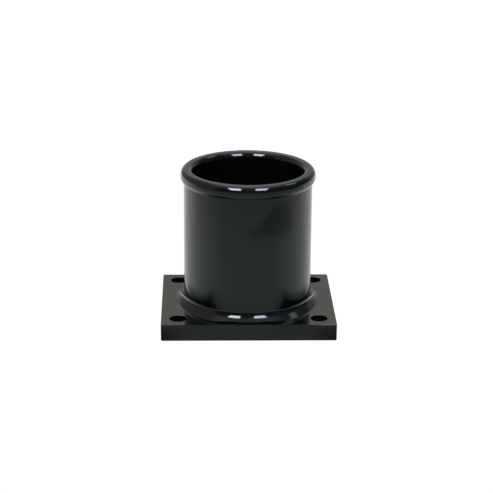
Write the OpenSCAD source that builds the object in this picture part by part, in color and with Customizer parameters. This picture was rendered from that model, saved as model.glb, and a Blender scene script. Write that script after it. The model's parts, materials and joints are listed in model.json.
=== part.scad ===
// Stanchion base: a flanged deck socket for a 2 inch (50.8 mm) stanchion tube.
// Origin: centre of the plate's underside. +Z runs up the socket and -Y is the front.
// All sizes are in millimetres.

/* [Base plate] */
// Plate length, side to side
plate_w = 81.4; // [80:0.1:100]
// Plate depth, front to back
plate_d = 68.1; // [67:0.1:90]
// Plate thickness
plate_t = 7.9; // [6.5:0.1:12]
// Radius of the plate's four upright corners
corner_r = 1; // [0.6:0.1:3]
// Chamfer round the plate's top and bottom edges
edge_chamfer = 0.5; // [0.2:0.1:0.8]
// Distance between bolt holes, side to side
bolt_spacing_x = 65.6; // [65:0.1:67]
// Distance between bolt holes, front to back
bolt_spacing_y = 51.9; // [51.5:0.1:54]
// Diameter of the bolt holes
bolt_hole_d = 8; // [6:0.1:8.2]

/* [Socket] */
// Height of the rim above the deck
socket_h = 73.5; // [60:0.1:120]
// Outside diameter of the socket tube
tube_d = 60.3; // [60:0.1:60.6]
// Inside diameter of the finished bore
bore_d = 51.3; // [51.1:0.1:51.6]
// Outside diameter of the rolled rim
rim_d = 63.3; // [62.9:0.1:63.7]
// Height of the straight band between the rim's round top and its round underside
rim_band = 1; // [0.2:0.1:1.4]
// Height of the welded foot above the plate
foot_h = 4.9; // [4.4:0.1:5.3]
// Radius of the hollow that blends the foot into the socket
foot_r = 4; // [3.6:0.1:4.6]
// Slope of the foot's straight lower face, in degrees from upright
foot_slope = 46; // [40:1:48]
// How far the foot is dressed back from the plate's front and back edges
foot_margin = 1.5; // [1:0.1:2]

/* [Liner] */
// Wall of the plastic liner
liner_wall = 1.1; // [0.8:0.1:1.3]
// Thickness of the liner's inward foot flange
liner_foot_t = 1.5; // [1:0.1:3]

/* [Set screws] */
// Thread diameter
screw_d = 6; // [5:0.5:6]
// Screw length
screw_len = 4; // [4:0.5:5]
// Height of the screws above the deck
screw_z = 42; // [30:1:50]
// Angle between the two screws, shared equally either side of the back
screw_spread = 60; // [40:5:90]

/* [Hidden] */
$fn = 96;
eps = 0.01;

// Plate
hole_chamfer = 0.15;
tube_seat_depth = 4;
floor_z = plate_t - tube_seat_depth;
drain_r = 4;

// Socket tube
tube_r = tube_d / 2;
bore_r = bore_d / 2;
tube_in_r = bore_r + liner_wall;

// Rim: a rounded bead whose inner side is flush with the bore
rim_bead_r = (rim_d / 2 - bore_r) / 2;
rim_mid_r = bore_r + rim_bead_r;
rim_top_mid_z = socket_h - rim_bead_r;
rim_low_mid_z = rim_top_mid_z - rim_band;
rim_under_z = rim_low_mid_z - sqrt(pow(rim_bead_r, 2) - pow(tube_r - rim_mid_r, 2));
spigot_r = (tube_in_r + tube_r) / 2;
spigot_h = 2.2;
rim_seat_z = rim_under_z + spigot_h;

// Foot weld: a hollow that runs out into a straight face. Its top keeps a little thickness.
foot_lip = 0.1;
foot_mid_r = tube_r + foot_lip + foot_r;
foot_mid_z = plate_t + foot_h;
face_top_r = foot_mid_r - foot_r * cos(foot_slope);
face_top_z = foot_mid_z - foot_r * sin(foot_slope);
foot_out_r = face_top_r + (face_top_z - plate_t) * tan(foot_slope);

// Liner
liner_gap = 0.05;
liner_out_r = tube_in_r - liner_gap;
liner_top_z = rim_seat_z - 0.1;
liner_drain_r = 8;
liner_screw_gap = 0.4;

// Set screws
screw_r = screw_d / 2;
thread_gap = 0.05;
screw_tip_r = bore_r + 0.2;
screw_chamfer = 0.5;
hex_af = screw_d / 2;
hex_depth = 2;
cup_r = 1.4;
cup_depth = 0.7;

// Places children at all four bolt holes.
module at_bolts() {
    for (x = [-1, 1], y = [-1, 1])
        translate([x * bolt_spacing_x / 2, y * bolt_spacing_y / 2, 0]) children();
}

// Outline of the plate seen from above, with round corners.
module plate_outline() {
    square([plate_w - 2 * corner_r, plate_d], center = true);
    square([plate_w, plate_d - 2 * corner_r], center = true);
    for (x = [-1, 1], y = [-1, 1])
        translate([x * (plate_w / 2 - corner_r), y * (plate_d / 2 - corner_r)]) circle(corner_r);
}

// Section through the plate across a width, with its four edges chamfered.
module plate_section(width) {
    c = edge_chamfer;
    half = width / 2;
    polygon([[-half + c, 0], [half - c, 0], [half, c], [half, plate_t - c],
             [half - c, plate_t], [-half + c, plate_t], [-half, plate_t - c], [-half, c]]);
}

// Solid that a section sweeps along Y (turn = 0) or along X (turn = 90).
module swept(turn) {
    rotate([0, 0, turn])
        rotate([90, 0, 0])
            linear_extrude(plate_w + plate_d, center = true) children();
}

// A hole along Z from z0 to z1, with a chamfer at each mouth.
module chamfered_hole(r, z0, z1, chamfer) {
    translate([0, 0, z0 - eps]) cylinder(r = r, h = z1 - z0 + 2 * eps);
    translate([0, 0, z0 - eps]) cylinder(r1 = r + chamfer + eps, r2 = r, h = chamfer + eps);
    translate([0, 0, z1 - chamfer]) cylinder(r1 = r, r2 = r + chamfer + eps, h = chamfer + eps);
}

module base_plate() {
    color("#1d1f21")
    difference() {
        intersection() {
            linear_extrude(plate_t) plate_outline();
            swept(0) plate_section(plate_w);
            swept(90) plate_section(plate_d);
        }
        at_bolts() chamfered_hole(bolt_hole_d / 2, 0, plate_t, hole_chamfer);
        translate([0, 0, floor_z]) cylinder(r = tube_r, h = plate_t);
        chamfered_hole(drain_r, 0, floor_z, hole_chamfer);
    }
}

// Turns the children, which lie along +Z, to point outwards through one set screw's hole.
module at_screw(side) {
    rotate([0, 0, side * screw_spread / 2])
        translate([0, 0, screw_z])
            rotate([-90, 0, 0]) children();
}

module socket_tube() {
    color("#1d1f21")
    difference() {
        rotate_extrude()
            polygon([[tube_in_r, floor_z], [tube_r, floor_z], [tube_r, rim_under_z],
                     [spigot_r, rim_under_z], [spigot_r, rim_seat_z], [tube_in_r, rim_seat_z]]);
        for (side = [-1, 1]) at_screw(side) cylinder(r = screw_r, h = tube_r + 1);
    }
}

module foot_weld() {
    color("#1d1f21")
    intersection() {
        rotate_extrude()
            difference() {
                polygon([[tube_r, plate_t], [foot_out_r, plate_t], [face_top_r, face_top_z],
                         [tube_r + foot_lip, foot_mid_z], [tube_r, foot_mid_z]]);
                translate([foot_mid_r, foot_mid_z]) circle(foot_r);
            }
        translate([-plate_w / 2, foot_margin - plate_d / 2, 0])
            cube([plate_w, plate_d - 2 * foot_margin, socket_h]);
    }
}

module rim_ring() {
    color("#1d1f21")
    rotate_extrude()
        difference() {
            union() {
                translate([rim_mid_r, rim_top_mid_z]) circle(rim_bead_r);
                translate([rim_mid_r, rim_low_mid_z]) circle(rim_bead_r);
                translate([rim_mid_r, rim_low_mid_z]) square([rim_bead_r, rim_band]);
                translate([bore_r, rim_seat_z]) square([rim_bead_r, rim_top_mid_z - rim_seat_z]);
            }
            translate([0, rim_under_z - 2 * rim_bead_r]) square([rim_d, 2 * rim_bead_r]);
            translate([0, rim_under_z - eps]) square([spigot_r, spigot_h + eps]);
        }
}

module bore_liner() {
    color("#101113")
    difference() {
        rotate_extrude()
            polygon([[liner_drain_r, floor_z], [liner_out_r, floor_z], [liner_out_r, liner_top_z],
                     [bore_r, liner_top_z], [bore_r, floor_z + liner_foot_t],
                     [liner_drain_r, floor_z + liner_foot_t]]);
        for (side = [-1, 1])
            at_screw(side) cylinder(r = screw_r + liner_screw_gap, h = tube_r);
    }
}

// A socket set screw with a hollowed cup point, standing in its hole with its tip towards the bore.
module set_screw(side) {
    r = screw_r - thread_gap;
    tip = screw_tip_r;
    head = tip + screw_len;
    c = screw_chamfer;
    color("silver")
    at_screw(side)
        difference() {
            rotate_extrude()
                polygon([[0, tip + cup_depth], [cup_r, tip], [r - c, tip], [r, tip + c],
                         [r, head - c], [r - c, head], [0, head]]);
            translate([0, 0, head - hex_depth]) cylinder(d = hex_af / cos(30), h = hex_depth + 1, $fn = 6);
        }
}

base_plate();
socket_tube();
foot_weld();
rim_ring();
bore_liner();
set_screw(1);  // set_screw_left
set_screw(-1);  // set_screw_right
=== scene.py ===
"""Looks of the stanchion base: a gloss black deck socket for a 2 inch stanchion.

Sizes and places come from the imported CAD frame, in metres. Each piece is a fresh mesh, finer
than its CAD node, which stands for that node and rides on its body.
"""
import json
import math

import bmesh
import bpy
from mathutils import Matrix, Quaternion, Vector


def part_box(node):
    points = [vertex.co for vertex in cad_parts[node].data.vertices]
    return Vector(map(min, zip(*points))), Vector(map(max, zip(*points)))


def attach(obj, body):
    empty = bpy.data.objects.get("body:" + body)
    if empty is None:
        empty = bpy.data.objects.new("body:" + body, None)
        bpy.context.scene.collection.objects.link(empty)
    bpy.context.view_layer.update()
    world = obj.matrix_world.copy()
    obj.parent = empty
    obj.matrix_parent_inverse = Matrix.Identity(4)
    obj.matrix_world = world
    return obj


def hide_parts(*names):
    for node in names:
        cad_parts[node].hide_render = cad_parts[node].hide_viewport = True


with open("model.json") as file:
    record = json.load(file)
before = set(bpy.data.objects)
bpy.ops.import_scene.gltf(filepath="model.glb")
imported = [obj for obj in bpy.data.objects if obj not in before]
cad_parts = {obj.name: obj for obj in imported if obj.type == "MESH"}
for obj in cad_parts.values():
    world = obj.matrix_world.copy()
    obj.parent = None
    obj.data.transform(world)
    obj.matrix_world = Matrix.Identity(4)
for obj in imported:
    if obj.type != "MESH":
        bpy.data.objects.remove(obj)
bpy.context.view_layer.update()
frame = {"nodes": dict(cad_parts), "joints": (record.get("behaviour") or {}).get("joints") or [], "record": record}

MM = 0.001
TURN = 2 * math.pi

# Gap round the liner and round each set screw
FIT_GAP = 0.05 * MM


# ---------------------------------------------------------------- sizes from the frame

mounts = {mount["name"]: mount for mount in frame["record"]["mounts"]}
bore_r = mounts["stanchion_bore"]["dims"]["r_mm"] * MM
bolt_r = mounts["deck_bolts"]["dims"]["hole_r_mm"] * MM
bolt_x = mounts["deck_bolts"]["dims"]["spacing_x_mm"] * MM / 2
bolt_y = mounts["deck_bolts"]["dims"]["spacing_y_mm"] * MM / 2

plate_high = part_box("base_plate")[1]
tube_low, tube_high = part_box("socket_tube")
rim_low, rim_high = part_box("rim_ring")
liner_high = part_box("bore_liner")[1]
weld_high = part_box("foot_weld")[1]
screws = {side: frame["nodes"]["set_screw_" + side] for side in ("left", "right")}

tube_r = tube_high.x
liner_r = liner_high.x
tube_in_r = liner_r + FIT_GAP
floor_z = tube_low.z
seat_z = tube_high.z
bead_r = (rim_high.x - bore_r) / 2
bead_mid_r = bore_r + bead_r
bead_top_z = rim_high.z - bead_r
bead_low_z = rim_low.z + math.sqrt(bead_r ** 2 - (tube_r - bead_mid_r) ** 2)
spigot_r = (tube_in_r + tube_r) / 2
foot_top_z = weld_high.z

# Sizes that the frame's boxes and record don't give
PLATE_CORNER = 1.0 * MM
PLATE_EDGE = 0.5 * MM
HOLE_EDGE = 0.15 * MM
SMALL_EDGE = 0.15 * MM
COAT_FILLET = 0.4 * MM
DRAIN_R = 4.0 * MM
LINER_DRAIN_R = 8.0 * MM
LINER_FOOT = 1.5 * MM
LINER_SCREW_R = 3.4 * MM

# Half the side of the square that is left open in a wall for a screw's hole
HOLE_HALF = 4.3 * MM

# The weld: the radius of its hollow, and the slope of its face in degrees from upright
FOOT_R = 4.0 * MM
FOOT_SLOPE = 46.0
# How far the hollow's top stands off the tube, and how deep the weld is sunk into tube and plate
FOOT_STANDOFF = 0.02 * MM
FOOT_SUNK = 0.15 * MM
# How far out the weld may reach at the front and back, and how much farther at the sides
FOOT_FRONT_R = 32.4 * MM
FOOT_WIDER = 4.3 * MM
# The radius of its toe at the front, and how far towards the sides the toe starts to soften
FOOT_TOE_R = 0.1 * MM
FOOT_SOFT_FROM = 0.72
# Its faint waviness: its depth, then the share, number and start angle of each set of waves
FOOT_WAVE = 0.03 * MM
FOOT_WAVES = ((0.5, 3, 0.7), (0.3, 7, 2.1), (0.2, 13, 4.0))
HOLLOW_STEPS = 24
FACE_STEPS = 10
TOE_STEPS = 12

# Steps round each arc: the plate's corners, its rounded edges, a plain hole, the bead's coating
# fillet, its underside, its top, and the liner's inner edge
CORNER_STEPS = 8
EDGE_STEPS = 4
HOLE_STEPS = 96
FILLET_STEPS = 6
BEAD_LOW_STEPS = 24
BEAD_TOP_STEPS = 72
LINER_STEPS = 4

# Edges that bend more than this, in degrees, stay crisp, and the rim and screws have their own
SHARP_ANGLE = 35
RIM_SHARP_ANGLE = 50
SCREW_SHARP_ANGLE = 32

# Points closer than this are one point, and levels closer than this are one level
SAME_POINT = 1e-7
SAME_LEVEL = 1e-6

# An edge this many hole radii from a hole's middle, or nearer, belongs to that hole
NEAR_HOLE = 1.1

# Columns in every revolved mesh, and the rows and columns of the square left open for a hole
SEGMENTS = 240
WINDOW = 12

# Rings of faces between that square and the hole's edge, as shares of the way
PATCH_SHARES = (0.4, 0.75, 1.0)


# ---------------------------------------------------------------- mesh helpers

def arc(centre, radius, start, end, steps):
    """Points along a round stretch of an outline, with its angles in degrees."""
    points = []
    for i in range(steps + 1):
        angle = math.radians(start + (end - start) * i / steps)
        points.append((centre[0] + radius * math.cos(angle), centre[1] + radius * math.sin(angle)))
    return points


def object_from(bm, name, sharp_angle=SHARP_ANGLE):
    """Turns a bmesh into a smooth-shaded object whose true corners stay crisp."""
    bmesh.ops.remove_doubles(bm, verts=bm.verts, dist=SAME_POINT)
    bmesh.ops.recalc_face_normals(bm, faces=bm.faces)
    limit = math.radians(sharp_angle)
    for face in bm.faces:
        face.smooth = True
    for edge in bm.edges:
        edge.smooth = edge.is_manifold and edge.calc_face_angle(0) < limit
    mesh = bpy.data.meshes.new(name)
    bm.to_mesh(mesh)
    bm.free()
    piece = bpy.data.objects.new(name, mesh)
    bpy.context.scene.collection.objects.link(piece)
    return piece


def ring_point(radius, angle, height):
    return Vector((radius * math.cos(angle), radius * math.sin(angle), height))


def revolve(bm, outline, windows=()):
    """Sweeps a closed (radius, height) outline round +Z, and returns the grid of vertices.

    windows lists the first column and row of each square of the grid to leave open.
    """
    grid = []
    for column in range(SEGMENTS):
        angle = TURN * column / SEGMENTS
        grid.append([bm.verts.new(ring_point(r, angle, z)) for r, z in outline])
    skipped = set()
    for column, row in windows:
        for i in range(WINDOW):
            for j in range(WINDOW):
                skipped.add(((column + i) % SEGMENTS, row + j))
    for i in range(SEGMENTS):
        here, there = grid[i], grid[(i + 1) % SEGMENTS]
        for j in range(len(outline)):
            k = (j + 1) % len(outline)
            if (i, j) not in skipped:
                bm.faces.new((here[j], there[j], there[k], here[k]))
    return grid


def bridge(bm, loop_a, loop_b):
    """Fills the strip between two closed loops that have the same number of vertices."""
    for i in range(len(loop_a)):
        j = (i + 1) % len(loop_a)
        bm.faces.new((loop_a[i], loop_a[j], loop_b[j], loop_b[i]))


def window_border(grid, column, low_row, climb):
    """The grid's vertices round a window, anticlockwise from its lowest row.

    climb is 1 where the grid's rows run upwards, and -1 where they run downwards.
    """
    def at(i, j):
        return grid[(column + i) % SEGMENTS][low_row + climb * j]
    border = [at(i, 0) for i in range(WINDOW)]
    border += [at(WINDOW, j) for j in range(WINDOW)]
    border += [at(i, WINDOW) for i in range(WINDOW, 0, -1)]
    border += [at(0, j) for j in range(WINDOW, 0, -1)]
    return border


# ---------------------------------------------------------------- walls with screw holes

def on_wall(radius, angle, across, height):
    """Point on a round wall, a sideways distance and a height from a hole's axis."""
    turned = angle + math.asin(across / radius)
    return ring_point(radius, turned, height)


def patch_to_hole(bm, border, radius, angle, mid_z, hole_r):
    """Fills a window in a round wall down to a round hole, and returns the hole's edge."""
    flat = []
    for vert in border:
        turned = math.atan2(vert.co.y, vert.co.x) - angle
        turned = (turned + math.pi) % TURN - math.pi
        flat.append((radius * math.sin(turned), vert.co.z - mid_z))
    first = math.atan2(flat[0][1], flat[0][0])
    count = len(flat)
    sign = 1 if flat[1][0] > flat[0][0] else -1
    previous = border
    for share in PATCH_SHARES:
        loop = []
        for i, (across, up) in enumerate(flat):
            round_angle = first + sign * TURN * i / count
            a = across + (hole_r * math.cos(round_angle) - across) * share
            b = up + (hole_r * math.sin(round_angle) - up) * share
            loop.append(bm.verts.new(on_wall(radius, angle, a, mid_z + b)))
        bridge(bm, previous, loop)
        previous = loop
    return previous


def drilled_wall(name, outline, outer_row, inner_row, hole_angles, mid_z, hole_r, countersink):
    """A revolved wall with round screw holes through it.

    outer_row and inner_row are where the outline's outer and inner walls cross the holes.
    """
    bm = bmesh.new()
    windows = []
    for angle in hole_angles:
        column = round(angle / TURN * SEGMENTS) - WINDOW // 2
        windows.append((column, outer_row))
        windows.append((column, inner_row))
    grid = revolve(bm, outline, windows)
    outer_r = outline[outer_row][0]
    inner_r = outline[inner_row][0]
    for angle in hole_angles:
        column = round(angle / TURN * SEGMENTS) - WINDOW // 2
        outer = window_border(grid, column, outer_row, 1)
        inner = window_border(grid, column, inner_row + WINDOW, -1)
        mouth = patch_to_hole(bm, outer, outer_r, angle, mid_z, hole_r + countersink)
        back = patch_to_hole(bm, inner, inner_r, angle, mid_z, hole_r)
        if countersink:
            lip = patch_to_hole_lip(bm, mouth, outer_r, angle, mid_z, hole_r, countersink)
            bridge(bm, mouth, lip)
            mouth = lip
        bridge(bm, mouth, back)
    return object_from(bm, name)


def patch_to_hole_lip(bm, mouth, radius, angle, mid_z, hole_r, countersink):
    """The inner edge of the small chamfer at a hole's mouth."""
    lip = []
    for vert in mouth:
        turned = math.atan2(vert.co.y, vert.co.x) - angle
        across = radius * math.sin(turned)
        up = vert.co.z - mid_z
        share = hole_r / math.hypot(across, up)
        lip.append(bm.verts.new(on_wall(radius - countersink, angle, across * share, mid_z + up * share)))
    return lip


def holed_stretch(radius, low, high, mid_z):
    """A straight wall of an outline with the extra rows that a hole's window needs."""
    rows = [(radius, mid_z - HOLE_HALF + 2 * HOLE_HALF * i / WINDOW) for i in range(WINDOW + 1)]
    return [(radius, low)] + rows + [(radius, high)]


# ---------------------------------------------------------------- pieces

def screw_place(side):
    """A set screw's rest place: the angle of its hole round the tube, its height and its tip."""
    joint = next(j for j in frame["joints"] if j["name"].startswith(side))
    inward = Vector(joint["axis"]).normalized()
    points = [v.co for v in screws[side].data.vertices]
    low = min(-p.dot(inward) for p in points)
    high = max(-p.dot(inward) for p in points)
    heights = [p.z for p in points]
    angle = math.atan2(-inward.y, -inward.x)
    return angle, (min(heights) + max(heights)) / 2, low, high, (max(heights) - min(heights)) / 2


places = {side: screw_place(side) for side in screws}
hole_angles = [places[side][0] for side in places]
screw_z = places["left"][1]
screw_r = places["left"][4]


def rounded_plate():
    """The plate's slab with round upright corners, before its holes are cut."""
    bm = bmesh.new()
    half_x, half_y = plate_high.x, plate_high.y
    c = PLATE_CORNER
    outline = []
    for sx, sy, start in ((1, 1, 0), (-1, 1, 90), (-1, -1, 180), (1, -1, 270)):
        outline += arc((sx * (half_x - c), sy * (half_y - c)), c, start, start + 90, CORNER_STEPS)
    bottom = [bm.verts.new((x, y, 0)) for x, y in outline]
    top = [bm.verts.new((x, y, plate_high.z)) for x, y in outline]
    bm.faces.new(bottom)
    bm.faces.new(top)
    bridge(bm, bottom, top)
    return object_from(bm, "plate_slab")


def rod(bm, x, y, radius, low, high, steps):
    """A closed cylinder, used to cut a hole."""
    loops = []
    for z in (low, high):
        turns = [TURN * i / steps for i in range(steps)]
        loops.append([bm.verts.new((x + radius * math.cos(a), y + radius * math.sin(a), z)) for a in turns])
    bm.faces.new(loops[0])
    bm.faces.new(loops[1])
    bridge(bm, loops[0], loops[1])


def evaluated_mesh(piece):
    """The mesh of a piece with its modifiers applied."""
    graph = bpy.context.evaluated_depsgraph_get()
    return bpy.data.meshes.new_from_object(piece.evaluated_get(graph))


def make_plate():
    """The plate: slab, bolt holes, the tube's seat and the drain, then rounded edges."""
    plate = rounded_plate()
    bm = bmesh.new()
    past = 2 * MM
    for sx in (-1, 1):
        for sy in (-1, 1):
            rod(bm, sx * bolt_x, sy * bolt_y, bolt_r, -past, plate_high.z + past, HOLE_STEPS)
    rod(bm, 0, 0, tube_r, floor_z, plate_high.z + past, SEGMENTS)
    rod(bm, 0, 0, DRAIN_R, -past, floor_z + past, HOLE_STEPS)
    cutter = object_from(bm, "plate_cutter")
    cut = plate.modifiers.new("holes", "BOOLEAN")
    cut.operation = "DIFFERENCE"
    cut.solver = "EXACT"
    cut.use_self = True
    cut.object = cutter
    plate.data = evaluated_mesh(plate)
    plate.modifiers.clear()
    bpy.data.objects.remove(cutter)
    weight_edges(plate.data)
    edges = plate.modifiers.new("edges", "BEVEL")
    edges.limit_method = "WEIGHT"
    edges.width = PLATE_EDGE
    edges.segments = EDGE_STEPS
    edges.harden_normals = True
    plate.data = evaluated_mesh(plate)
    plate.modifiers.clear()
    plate.name = "base_plate_coated"
    return plate


def weight_edges(mesh):
    """Marks how much each of the plate's edges is rounded: outer edges fully, hole mouths less."""
    bm = bmesh.new()
    bm.from_mesh(mesh)
    bmesh.ops.remove_doubles(bm, verts=bm.verts, dist=SAME_POINT)
    weight = bm.edges.layers.float.new("bevel_weight_edge")
    half_x, half_y, top = plate_high
    for edge in bm.edges:
        edge.smooth = edge.calc_face_angle(0) < math.radians(SHARP_ANGLE)
        mid = (edge.verts[0].co + edge.verts[1].co) / 2
        level = edge.verts[0].co.z
        if abs(edge.verts[0].co.z - edge.verts[1].co.z) > SAME_LEVEL or edge.smooth:
            continue
        on_rim = abs(mid.x) > half_x - PLATE_CORNER or abs(mid.y) > half_y - PLATE_CORNER
        from_bolt = math.hypot(abs(mid.x) - bolt_x, abs(mid.y) - bolt_y)
        if on_rim and (level < SAME_LEVEL or level > top - SAME_LEVEL):
            edge[weight] = 1.0
        elif from_bolt < bolt_r * NEAR_HOLE or math.hypot(mid.x, mid.y) < DRAIN_R * NEAR_HOLE:
            edge[weight] = HOLE_EDGE / PLATE_EDGE
    for face in bm.faces:
        face.smooth = True
    bm.to_mesh(mesh)
    bm.free()


def make_tube():
    """The socket's tube, with two screw holes through its back."""
    outline = holed_stretch(tube_r, floor_z, rim_low.z, screw_z)
    outline += [(spigot_r, rim_low.z), (spigot_r, seat_z)]
    inner_row = len(outline)
    outline += list(reversed(holed_stretch(tube_in_r, floor_z, seat_z, screw_z)))
    hole_r = screw_r + FIT_GAP
    return drilled_wall("socket_tube_coated", outline, 1, inner_row + 1, hole_angles, screw_z,
                        hole_r, 2 * SMALL_EDGE)


def make_liner():
    """The plastic sleeve in the bore, with its inward foot flange."""
    e = SMALL_EDGE
    flange_z = floor_z + LINER_FOOT
    outline = holed_stretch(liner_r, floor_z, liner_high.z, screw_z)
    inner_row = len(outline)
    outline += list(reversed(holed_stretch(bore_r, flange_z + e, liner_high.z, screw_z)))
    outline += [(bore_r - e, flange_z)]
    outline += arc((LINER_DRAIN_R + e, flange_z - e), e, 90, 180, LINER_STEPS)
    outline += [(LINER_DRAIN_R, floor_z)]
    return drilled_wall("bore_liner_sleeve", outline, 1, inner_row + 1, hole_angles, screw_z,
                        LINER_SCREW_R, 0)


def make_rim():
    """The rounded bead at the mouth, with a small fillet of coating under it."""
    reach = bead_r + COAT_FILLET
    across = tube_r + COAT_FILLET - bead_mid_r
    drop = math.sqrt(reach ** 2 - across ** 2)
    fillet_mid = (tube_r + COAT_FILLET, bead_low_z - drop)
    touch = math.degrees(math.atan2(-drop, across))
    outline = [(bore_r, seat_z), (spigot_r, seat_z), (spigot_r, rim_low.z), (tube_r, rim_low.z)]
    outline += arc(fillet_mid, COAT_FILLET, 180, touch + 180, FILLET_STEPS)
    outline += arc((bead_mid_r, bead_low_z), bead_r, touch, 0, BEAD_LOW_STEPS)
    outline += arc((bead_mid_r, bead_top_z), bead_r, 0, 180, BEAD_TOP_STEPS)
    bm = bmesh.new()
    revolve(bm, outline)
    return object_from(bm, "rim_ring_coated", RIM_SHARP_ANGLE)


def foot_section(angle):
    """Outline of the foot's outer side at an angle round the tube, from its top to the plate.

    At the sides the weld is one hollow curve that runs softly into the plate. At the front and
    back its hollow runs out into a straight face, which is dressed back to a low step.
    """
    sideways = math.cos(angle) ** 2
    soft = max(0.0, (sideways - FOOT_SOFT_FROM) / (1 - FOOT_SOFT_FROM))
    soft = soft * soft * (3 - 2 * soft)
    across, up = math.cos(math.radians(FOOT_SLOPE)), math.sin(math.radians(FOOT_SLOPE))
    side_toe_r = (foot_top_z - FOOT_R * up - plate_high.z) / (1 - up)
    toe_r = FOOT_TOE_R + (side_toe_r - FOOT_TOE_R) * soft
    wave = sum(share * math.sin(count * angle + start) for share, count, start in FOOT_WAVES)
    mid_r = tube_r + FOOT_STANDOFF + FOOT_R
    points = []
    for i in range(HOLLOW_STEPS + 1):
        share = i / HOLLOW_STEPS
        turn = math.radians(180 + FOOT_SLOPE * share)
        r = FOOT_R - FOOT_WAVE * wave * math.sin(math.pi * share) ** 2
        points.append((mid_r + r * math.cos(turn), foot_top_z + r * math.sin(turn)))
    top_r, top_z = points[-1]
    toe_top_r = top_r + (top_z - plate_high.z - toe_r * (1 - up)) * up / across
    cut_r = FOOT_FRONT_R + FOOT_WIDER * sideways
    room = min(1.0, max(0.0, (cut_r - toe_top_r) / (toe_r * across)))
    low_r = min(toe_top_r, cut_r)
    low_z = top_z - (low_r - top_r) * across / up
    for i in range(1, FACE_STEPS):
        share = i / FACE_STEPS
        points.append((top_r + (low_r - top_r) * share, top_z + (low_z - top_z) * share))
    last_turn = 360 - math.degrees(math.acos(across * (room - 1)))
    toe_mid = (low_r + toe_r * across, low_z + toe_r * up)
    return points + arc(toe_mid, toe_r, 180 + FOOT_SLOPE, last_turn, TOE_STEPS)


def make_foot():
    """The dressed weld: a hollow under the tube that runs out into a straight sloping face."""
    bm = bmesh.new()
    columns = []
    for column in range(SEGMENTS):
        angle = TURN * column / SEGMENTS
        points = foot_section(angle)
        points.append((points[-1][0], plate_high.z - FOOT_SUNK))
        points.append((tube_r - FOOT_SUNK, plate_high.z - FOOT_SUNK))
        points.append((tube_r - FOOT_SUNK, foot_top_z))
        columns.append([bm.verts.new(ring_point(r, angle, z)) for r, z in points])
    for i in range(SEGMENTS):
        here, there = columns[i], columns[(i + 1) % SEGMENTS]
        for j in range(len(here)):
            k = (j + 1) % len(here)
            bm.faces.new((here[j], there[j], there[k], here[k]))
    return object_from(bm, "foot_weld_coated")


# ---------------------------------------------------------------- set screws

THREAD_PITCH = 1.0 * MM
THREAD_DEPTH = 0.5 * MM
# Shares of half a pitch, from the middle of a groove: its flat bottom, and one sloping flank
THREAD_BOTTOM = 0.12
THREAD_FLANK = 0.63
SCREW_END = 0.55 * MM
SOCKET_AF = 3.0 * MM
SOCKET_DEPTH = 2.0 * MM
CUP_R = 1.4 * MM
CUP_DEPTH = 0.7 * MM
CUP_POINT_R = 0.07 * MM
SOCKET_EDGE = 0.12 * MM
SOCKET_CONE = 0.5 * MM
SOCKET_POINT_R = 0.06 * MM
SCREW_COLUMNS = 96
SCREW_ROWS = 80


def thread_radius(turned, along, length):
    """Radius of the screw's side, with a 60 degree thread and a chamfer at both ends."""
    phase = (along / THREAD_PITCH - turned / TURN) % 1.0
    tooth = min(1.0, max(0.0, (abs(phase - 0.5) * 2 - THREAD_BOTTOM) / THREAD_FLANK))
    radius = screw_r - THREAD_DEPTH * (1 - tooth)
    from_end = min(along, length - along)
    return min(radius, screw_r - SCREW_END + from_end)


def make_screw(side):
    """A socket set screw: threaded side, hexagon socket at its head, hollow cup at its point."""
    angle, mid_z, tip, head, _ = places[side]
    length = head - tip
    bm = bmesh.new()

    def loop(radius_at, along):
        turns = [TURN * i / SCREW_COLUMNS for i in range(SCREW_COLUMNS)]
        return [bm.verts.new((radius_at(a) * math.cos(a), radius_at(a) * math.sin(a), along)) for a in turns]

    def hexagon(a):
        sixth = TURN / 6
        return SOCKET_AF / 2 / math.cos((a % sixth) - sixth / 2)

    loops = [loop(lambda a: CUP_POINT_R, tip + CUP_DEPTH), loop(lambda a: CUP_R, tip)]
    for row in range(SCREW_ROWS + 1):
        along = length * row / SCREW_ROWS
        loops.append(loop(lambda a: thread_radius(a, along, length), tip + along))
    loops.append(loop(lambda a: hexagon(a) + SOCKET_EDGE, head))
    loops.append(loop(hexagon, head - SOCKET_EDGE))
    loops.append(loop(hexagon, head - SOCKET_DEPTH))
    loops.append(loop(lambda a: SOCKET_POINT_R, head - SOCKET_DEPTH - SOCKET_CONE))
    for one, other in zip(loops, loops[1:]):
        bridge(bm, one, other)
    bm.faces.new(loops[0])
    bm.faces.new(loops[-1])
    outwards = Matrix.Rotation(angle, 4, "Z") @ Matrix.Rotation(math.pi / 2, 4, "Y")
    bm.transform(Matrix.Translation((0, 0, mid_z)) @ outwards)
    return object_from(bm, "set_screw_" + side + "_m6", SCREW_SHARP_ANGLE)


# ---------------------------------------------------------------- materials

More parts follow.
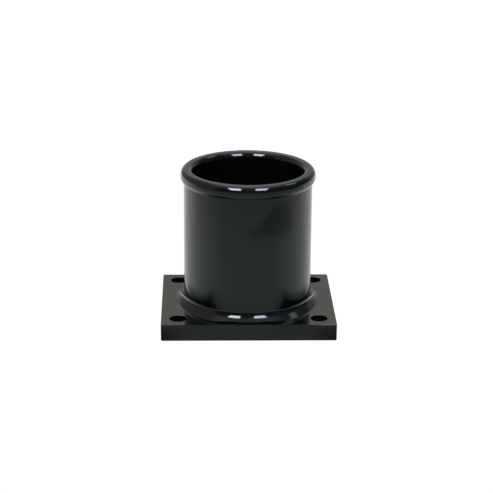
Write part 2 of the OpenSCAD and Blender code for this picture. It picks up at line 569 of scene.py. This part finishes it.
class Nodes:
    """Short ways to add nodes to a node tree and link them."""

    def __init__(self, tree):
        self.tree = tree
        tree.nodes.clear()

    def add(self, kind, inputs=None, **settings):
        node = self.tree.nodes.new(kind)
        for key, value in settings.items():
            setattr(node, key, value)
        for key, value in (inputs or {}).items():
            if isinstance(value, bpy.types.NodeSocket):
                self.tree.links.new(value, node.inputs[key])
            else:
                node.inputs[key].default_value = value
        return node

    def maths(self, operation, a, b=0.0, c=0.0):
        return self.add("ShaderNodeMath", {0: a, 1: b, 2: c}, operation=operation).outputs[0]

    def remap(self, value, low, high, to_low, to_high, smooth=False):
        kind = "SMOOTHSTEP" if smooth else "LINEAR"
        inputs = {"Value": value, "From Min": low, "From Max": high, "To Min": to_low, "To Max": to_high}
        return self.add("ShaderNodeMapRange", inputs, interpolation_type=kind).outputs[0]

    def noise(self, where, per_mm, detail=2.0):
        inputs = {"Vector": where, "Scale": per_mm / MM, "Detail": detail}
        return self.add("ShaderNodeTexNoise", inputs).outputs[0]

    def mix_colour(self, factor, a, b):
        node = self.add("ShaderNodeMix", {0: factor}, data_type="RGBA")
        for index, value in ((6, a), (7, b)):
            if isinstance(value, bpy.types.NodeSocket):
                self.tree.links.new(value, node.inputs[index])
            else:
                node.inputs[index].default_value = value
        return node.outputs[2]


def new_material(name):
    material = bpy.data.materials.new(name)
    material.use_nodes = True
    return material, Nodes(material.node_tree)


def coat_material():
    """Gloss black powder coat: faint orange peel, a few specks and slightly uneven gloss."""
    material, n = new_material("gloss_black_coat")
    where = n.add("ShaderNodeTexCoord").outputs["Object"]
    cloudy = n.noise(where, 0.06, 3.0)
    peel = n.noise(where, 0.9, 1.0)
    grain = n.noise(where, 6.0, 2.0)
    roughness = n.remap(cloudy, 0.3, 0.7, 0.05, 0.09)
    colour = n.mix_colour(cloudy, (0.0010, 0.0011, 0.0011, 1), (0.0018, 0.0019, 0.0019, 1))
    peel_bump = n.add("ShaderNodeBump", {"Height": peel, "Distance": 0.004 * MM, "Strength": 1.0})
    bump = n.add("ShaderNodeBump", {"Height": grain, "Distance": 0.0003 * MM,
                                    "Strength": 1.0, "Normal": peel_bump.outputs[0]})
    shader = n.add("ShaderNodeBsdfPrincipled", {"Base Color": colour, "Roughness": roughness,
                                                "IOR": 1.5, "Normal": bump.outputs[0]})
    n.add("ShaderNodeOutputMaterial", {"Surface": shader.outputs[0]})
    return material


def liner_material():
    """Matt black moulded nylon, with a fine drawn texture along the bore."""
    material, n = new_material("black_nylon")
    where = n.add("ShaderNodeTexCoord").outputs["Object"]
    stretched = n.add("ShaderNodeMapping", {"Vector": where, "Scale": (1.0, 1.0, 0.15)}).outputs[0]
    drawn = n.noise(stretched, 2.0, 3.0)
    cloudy = n.noise(where, 0.1, 2.0)
    roughness = n.remap(cloudy, 0.3, 0.7, 0.18, 0.26)
    colour = n.mix_colour(cloudy, (0.0008, 0.0008, 0.0008, 1), (0.0014, 0.0014, 0.0015, 1))
    bump = n.add("ShaderNodeBump", {"Height": drawn, "Distance": 0.02 * MM, "Strength": 0.6})
    shader = n.add("ShaderNodeBsdfPrincipled", {"Base Color": colour, "Roughness": roughness,
                                                "IOR": 1.45, "Specular IOR Level": 0.15,
                                                "Normal": bump.outputs[0]})
    n.add("ShaderNodeOutputMaterial", {"Surface": shader.outputs[0]})
    return material


def steel_material():
    """Plain stainless steel with fine turning marks and slight staining."""
    material, n = new_material("stainless_steel")
    where = n.add("ShaderNodeTexCoord").outputs["Object"]
    marks = n.noise(where, 12.0, 2.0)
    stains = n.noise(where, 0.8, 3.0)
    roughness = n.remap(stains, 0.3, 0.7, 0.22, 0.38)
    colour = n.mix_colour(stains, (0.50, 0.49, 0.47, 1), (0.64, 0.64, 0.65, 1))
    bump = n.add("ShaderNodeBump", {"Height": marks, "Distance": 0.004 * MM, "Strength": 0.5})
    shader = n.add("ShaderNodeBsdfPrincipled", {"Base Color": colour, "Metallic": 1.0,
                                                "Roughness": roughness, "Normal": bump.outputs[0]})
    n.add("ShaderNodeOutputMaterial", {"Surface": shader.outputs[0]})
    return material


# ---------------------------------------------------------------- building the object

def place(piece, node, body, material):
    """Gives a piece its material and puts it on its body in place of its CAD node."""
    piece.data.materials.clear()
    piece.data.materials.append(material)
    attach(piece, body)
    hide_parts(node)


coat = coat_material()
nylon = liner_material()
steel = steel_material()
place(make_plate(), "base_plate", "base", coat)
place(make_tube(), "socket_tube", "base", coat)
place(make_foot(), "foot_weld", "base", coat)
place(make_rim(), "rim_ring", "base", coat)
place(make_liner(), "bore_liner", "base", nylon)
for side in screws:
    place(make_screw(side), "set_screw_" + side, side + "_screw", steel)


# ---------------------------------------------------------------- studio

# Strength at which the floor and background show as pure white to the camera
SEEN_WHITE = 1.03


def toward(azimuth, elevation):
    """Unit vector from the object towards a place in the studio, in degrees, 0 being the front."""
    a, e = math.radians(azimuth), math.radians(elevation)
    return Vector((math.sin(a) * math.cos(e), -math.cos(a) * math.cos(e), math.sin(e)))


def between(n, azimuth, start, end):
    """Rises smoothly from 0 to 1 while a direction's azimuth goes from start to end degrees."""
    return n.remap(azimuth, math.radians(start), math.radians(end), 0.0, 1.0, True)


# The floor as reflections see it: how bright it is in front, behind, far off, to the right and
# close to the plate, where it has painted shade, and where it fades (distances from the middle, in metres)
FLOOR_HALF = 3.0
FLOOR_FRONT = 0.56
FLOOR_BACK = 1.07
FLOOR_FAR = 0.2
FLOOR_FADE = (0.1, 0.5)
FLOOR_RIGHT = 0.93
FLOOR_NEAR_SHADE = 0.85
FLOOR_NEAR_SHADE_FADE = (0.05, 0.09)
FLOOR_FRONT_TINT = (0.88, 1.07, 1.05, 1)

# Where its front gives way to its back, and its middle to its right, as shares of a direction:
# -1 is straight to the front or left, and 1 is straight to the back or right
FLOOR_TURN = (-1.0, 0.5)
FLOOR_BEHIND = (-0.2, 0.3)
FLOOR_RIGHTWARD = (0.0, 0.7)

# A painted shade on the floor, a dimmer band: its inner edge, and its outer edge where it starts and ends
BAND_DEPTH = 0.40
BAND_INNER = (0.166, 0.180)
BAND_OUTER = (0.186, 0.226)
BAND_OUTER_TURN = (10, 45)
BAND_OUTER_BLUR = 0.008
BAND_START = (-5, 7)
BAND_END = (60, 95)

# The shadows beside the plate: the edges of their dark middle, and how far they fade past it
SHADOW_DEPTH = 0.78
SHADOW_INNER_X = (24 * MM, 46 * MM)
SHADOW_OUTER_X = 60 * MM
SHADOW_FADE_X = 18 * MM
SHADOW_MID_Y = -14 * MM
SHADOW_HALF_Y = 20 * MM
SHADOW_FADE_Y = 30 * MM


def painted_shade_band(n, x, y, away):
    """How far a place is in the painted shade band, which sweeps round the right and widens as it goes."""
    turned = n.maths("ARCTAN2", x, n.maths("MULTIPLY", y, -1.0))
    start, end = (math.radians(turn) for turn in BAND_OUTER_TURN)
    outer = n.remap(turned, start, end, *BAND_OUTER)
    past_outer = n.maths("SUBTRACT", away, outer)
    band = n.remap(away, *BAND_INNER, 0.0, 1.0, True)
    band = n.maths("MULTIPLY", band, n.remap(past_outer, -BAND_OUTER_BLUR, BAND_OUTER_BLUR, 1.0, 0.0, True))
    band = n.maths("MULTIPLY", band, between(n, turned, *BAND_START))
    ended = between(n, turned, *BAND_END)
    return n.maths("MULTIPLY", band, n.maths("SUBTRACT", 1.0, ended))


def side_shadow(n, x, y):
    """How dark the soft shadows beside the plate and at its front corners are at a place."""
    beside_x = n.maths("ABSOLUTE", x)
    past_x = n.maths("MAXIMUM", n.maths("SUBTRACT", beside_x, SHADOW_OUTER_X), 0.0)
    past_y = n.maths("ABSOLUTE", n.maths("SUBTRACT", y, SHADOW_MID_Y))
    past_y = n.maths("MAXIMUM", n.maths("SUBTRACT", past_y, SHADOW_HALF_Y), 0.0)
    past = n.add("ShaderNodeCombineXYZ", {0: n.maths("DIVIDE", past_x, SHADOW_FADE_X),
                                          1: n.maths("DIVIDE", past_y, SHADOW_FADE_Y)})
    past = n.add("ShaderNodeVectorMath", {0: past.outputs[0]}, operation="LENGTH").outputs["Value"]
    beside = n.remap(beside_x, *SHADOW_INNER_X, 0.0, 1.0, True)
    return n.maths("MULTIPLY", n.remap(past, 0.0, 1.0, SHADOW_DEPTH, 0.0, True), beside)


def make_floor():
    """A wide white floor. It shows as plain white, and is dimmer in front in reflections."""
    bm = bmesh.new()
    bmesh.ops.create_grid(bm, x_segments=1, y_segments=1, size=FLOOR_HALF)
    floor = object_from(bm, "studio_floor")
    material, n = new_material("studio_floor_white")
    position = n.add("ShaderNodeNewGeometry").outputs["Position"]
    split = n.add("ShaderNodeSeparateXYZ", {0: position})
    x, y = split.outputs["X"], split.outputs["Y"]
    away = n.add("ShaderNodeVectorMath", {0: position}, operation="LENGTH").outputs["Value"]
    backness = n.maths("DIVIDE", y, away)
    rightness = n.maths("DIVIDE", x, away)
    behind = n.remap(backness, *FLOOR_BEHIND, 0.0, 1.0, True)

    level = n.remap(backness, *FLOOR_TURN, FLOOR_FRONT, FLOOR_BACK, True)
    far = n.remap(away, *FLOOR_FADE, 1.0, FLOOR_FAR, True)
    level = n.maths("MULTIPLY", level, n.maths("MAXIMUM", far, behind))
    level = n.maths("MULTIPLY", level, n.remap(rightness, *FLOOR_RIGHTWARD, 1.0, FLOOR_RIGHT))
    # Painted shade: a dimmer band sweeping round the right darkens the floor's glow
    level = n.maths("MULTIPLY", level, n.maths("MULTIPLY_ADD", painted_shade_band(n, x, y, away), -BAND_DEPTH, 1.0))
    level = n.maths("MULTIPLY", level, n.maths("SUBTRACT", 1.0, side_shadow(n, x, y)))
    # Painted shade: the floor's glow is dimmer close to the plate
    level = n.maths("MULTIPLY", level, n.remap(away, *FLOOR_NEAR_SHADE_FADE, FLOOR_NEAR_SHADE, 1.0, True))

    tint = n.mix_colour(behind, FLOOR_FRONT_TINT, (1, 1, 1, 1))
    seen = n.add("ShaderNodeEmission", {"Color": (1, 1, 1, 1), "Strength": SEEN_WHITE})
    mirrored = n.add("ShaderNodeEmission", {"Color": tint, "Strength": level})
    camera_ray = n.add("ShaderNodeLightPath").outputs["Is Camera Ray"]
    surface = n.add("ShaderNodeMixShader", {0: camera_ray, 1: mirrored.outputs[0], 2: seen.outputs[0]})
    n.add("ShaderNodeOutputMaterial", {"Surface": surface.outputs[0]})
    floor.data.materials.append(material)


# The room as reflections see it. Each part's edge is a pair, either of azimuths in degrees with
# 0 being the front, or of the upward share of a direction (0 level, 1 straight up).
ROOM_FRONT = 0.06
ROOM_FRONT_RISE = 0.15
SIDE_LEVEL = 0.31
LEFT_SIDE = (-65, -50)
RIGHT_SIDE = (115, 135)
CEILING_LEVEL = 0.9
CEILING_UP = (0.77, 0.95)
CEILING_FRONT_SHARE = 0.15
CEILING_BACKWARD = (-0.45, 0.05)
WALL_LEVELS = (0.45, 1.85)
WALL_UP = (0.25, 1.0)
WALL_BEHIND = (138, 158)

# A warm lamp high on the right: its azimuth and elevation, its level, and its edge
LAMP_AT = (110, 49)
LAMP_LEVEL = 2.4
LAMP_EDGE = (0.984, 0.997)

ROOM_TINT = (0.68, 1.05, 1.25, 1)
SIDE_TINT = (0.99, 1.10, 0.90, 1)
CEILING_TINT = (0.86, 0.98, 1.14, 1)
WALL_TINT = (1.02, 1.04, 0.94, 1)
LAMP_TINT = (1.12, 1.08, 0.80, 1)


def make_world():
    """White to the camera. In reflections, a bright wall behind, a lit ceiling and a dim room."""
    world = bpy.data.worlds.new("studio")
    world.use_nodes = True
    n = Nodes(world.node_tree)
    direction = n.add("ShaderNodeTexCoord").outputs["Generated"]
    split = n.add("ShaderNodeSeparateXYZ", {0: direction})
    x, y, z = (split.outputs[axis] for axis in "XYZ")
    azimuth = n.maths("ARCTAN2", x, n.maths("MULTIPLY", y, -1.0))

    front = n.maths("MULTIPLY_ADD", z, ROOM_FRONT_RISE, ROOM_FRONT)
    leftness = n.maths("SUBTRACT", 1.0, between(n, azimuth, *LEFT_SIDE))
    sides = n.maths("MAXIMUM", leftness, between(n, azimuth, *RIGHT_SIDE))
    room = n.maths("MAXIMUM", front, n.maths("MULTIPLY", sides, SIDE_LEVEL))
    ceiling = n.remap(z, *CEILING_UP, 0.0, CEILING_LEVEL, True)
    ceiling = n.maths("MULTIPLY", ceiling, n.remap(y, *CEILING_BACKWARD, CEILING_FRONT_SHARE, 1.0))
    wall = n.remap(z, *WALL_UP, *WALL_LEVELS, True)
    wallness = between(n, n.maths("ABSOLUTE", azimuth), *WALL_BEHIND)
    lamp_at = n.add("ShaderNodeVectorMath", {0: direction, 1: toward(*LAMP_AT)}, operation="DOT_PRODUCT")
    lamp = n.remap(lamp_at.outputs["Value"], *LAMP_EDGE, 0.0, 1.0, True)
    level = n.maths("ADD", room, ceiling)
    level = n.maths("MAXIMUM", level, n.maths("MULTIPLY", wall, wallness))
    level = n.maths("MULTIPLY_ADD", lamp, LAMP_LEVEL, level)

    colour = n.mix_colour(sides, ROOM_TINT, SIDE_TINT)
    colour = n.mix_colour(n.maths("MINIMUM", ceiling, 1.0), colour, CEILING_TINT)
    colour = n.mix_colour(wallness, colour, WALL_TINT)
    colour = n.mix_colour(lamp, colour, LAMP_TINT)
    camera_ray = n.add("ShaderNodeLightPath").outputs["Is Camera Ray"]
    colour = n.mix_colour(camera_ray, colour, (1, 1, 1, 1))
    unseen = n.maths("SUBTRACT", 1.0, camera_ray)
    strength = n.maths("MULTIPLY_ADD", unseen, level, n.maths("MULTIPLY", camera_ray, SEEN_WHITE))
    background = n.add("ShaderNodeBackground", {"Color": colour, "Strength": strength})
    n.add("ShaderNodeOutputWorld", {"Surface": background.outputs[0]})
    bpy.context.scene.world = world


SOFTBOX_WIDTH = 0.29
SOFTBOX_HEIGHT = 0.60
SOFTBOX_ELEVATION = 46


def softbox(name, azimuth, lean, watts, colour):
    """A tall softbox one metre away, facing the socket's mouth, its top leaning outwards."""
    data = bpy.data.lights.new(name, "AREA")
    data.shape = "RECTANGLE"
    data.size = SOFTBOX_WIDTH
    data.size_y = SOFTBOX_HEIGHT
    data.energy = watts
    data.color = colour
    lamp = bpy.data.objects.new(name, data)
    aim = Vector((0, 0, rim_high.z))
    lamp.location = aim + toward(azimuth, SOFTBOX_ELEVATION)
    lamp.rotation_mode = "QUATERNION"
    facing = (aim - lamp.location).to_track_quat("-Z", "Y")
    lamp.rotation_quaternion = facing @ Quaternion((0, 0, 1), math.radians(lean))
    bpy.context.scene.collection.objects.link(lamp)


CAMERA_LENS = 129.0
CAMERA_SENSOR = 36
CAMERA_DISTANCE = 0.8382
CAMERA_AIM = Vector((-0.00047, 0.00063, 0.03412))
CAMERA_AZIMUTH = -1.63
CAMERA_ELEVATION = 19.13
CAMERA_ROLL = 0.436


def make_camera():
    """A long lens, a little above the mouth and very nearly square to the plate's front."""
    data = bpy.data.cameras.new("camera")
    data.sensor_width = CAMERA_SENSOR
    data.lens = CAMERA_LENS
    data.clip_start = 0.05
    data.clip_end = 50
    camera = bpy.data.objects.new("camera", data)
    back = toward(CAMERA_AZIMUTH, CAMERA_ELEVATION)
    camera.location = CAMERA_AIM + back * CAMERA_DISTANCE
    upright = (-back).to_track_quat("-Z", "Y").to_matrix()
    rolled = upright @ Matrix.Rotation(math.radians(CAMERA_ROLL), 3, "Z")
    camera.matrix_world = Matrix.Translation(camera.location) @ rolled.to_4x4()
    bpy.context.scene.collection.objects.link(camera)
    bpy.context.scene.camera = camera


make_floor()
make_world()
softbox("softbox_left", -28, 16, 8.6, (0.94, 0.98, 1.08))
softbox("softbox_right", 26, -16, 7.0, (0.90, 0.96, 1.14))
make_camera()
bpy.context.scene.view_settings.view_transform = "Standard"
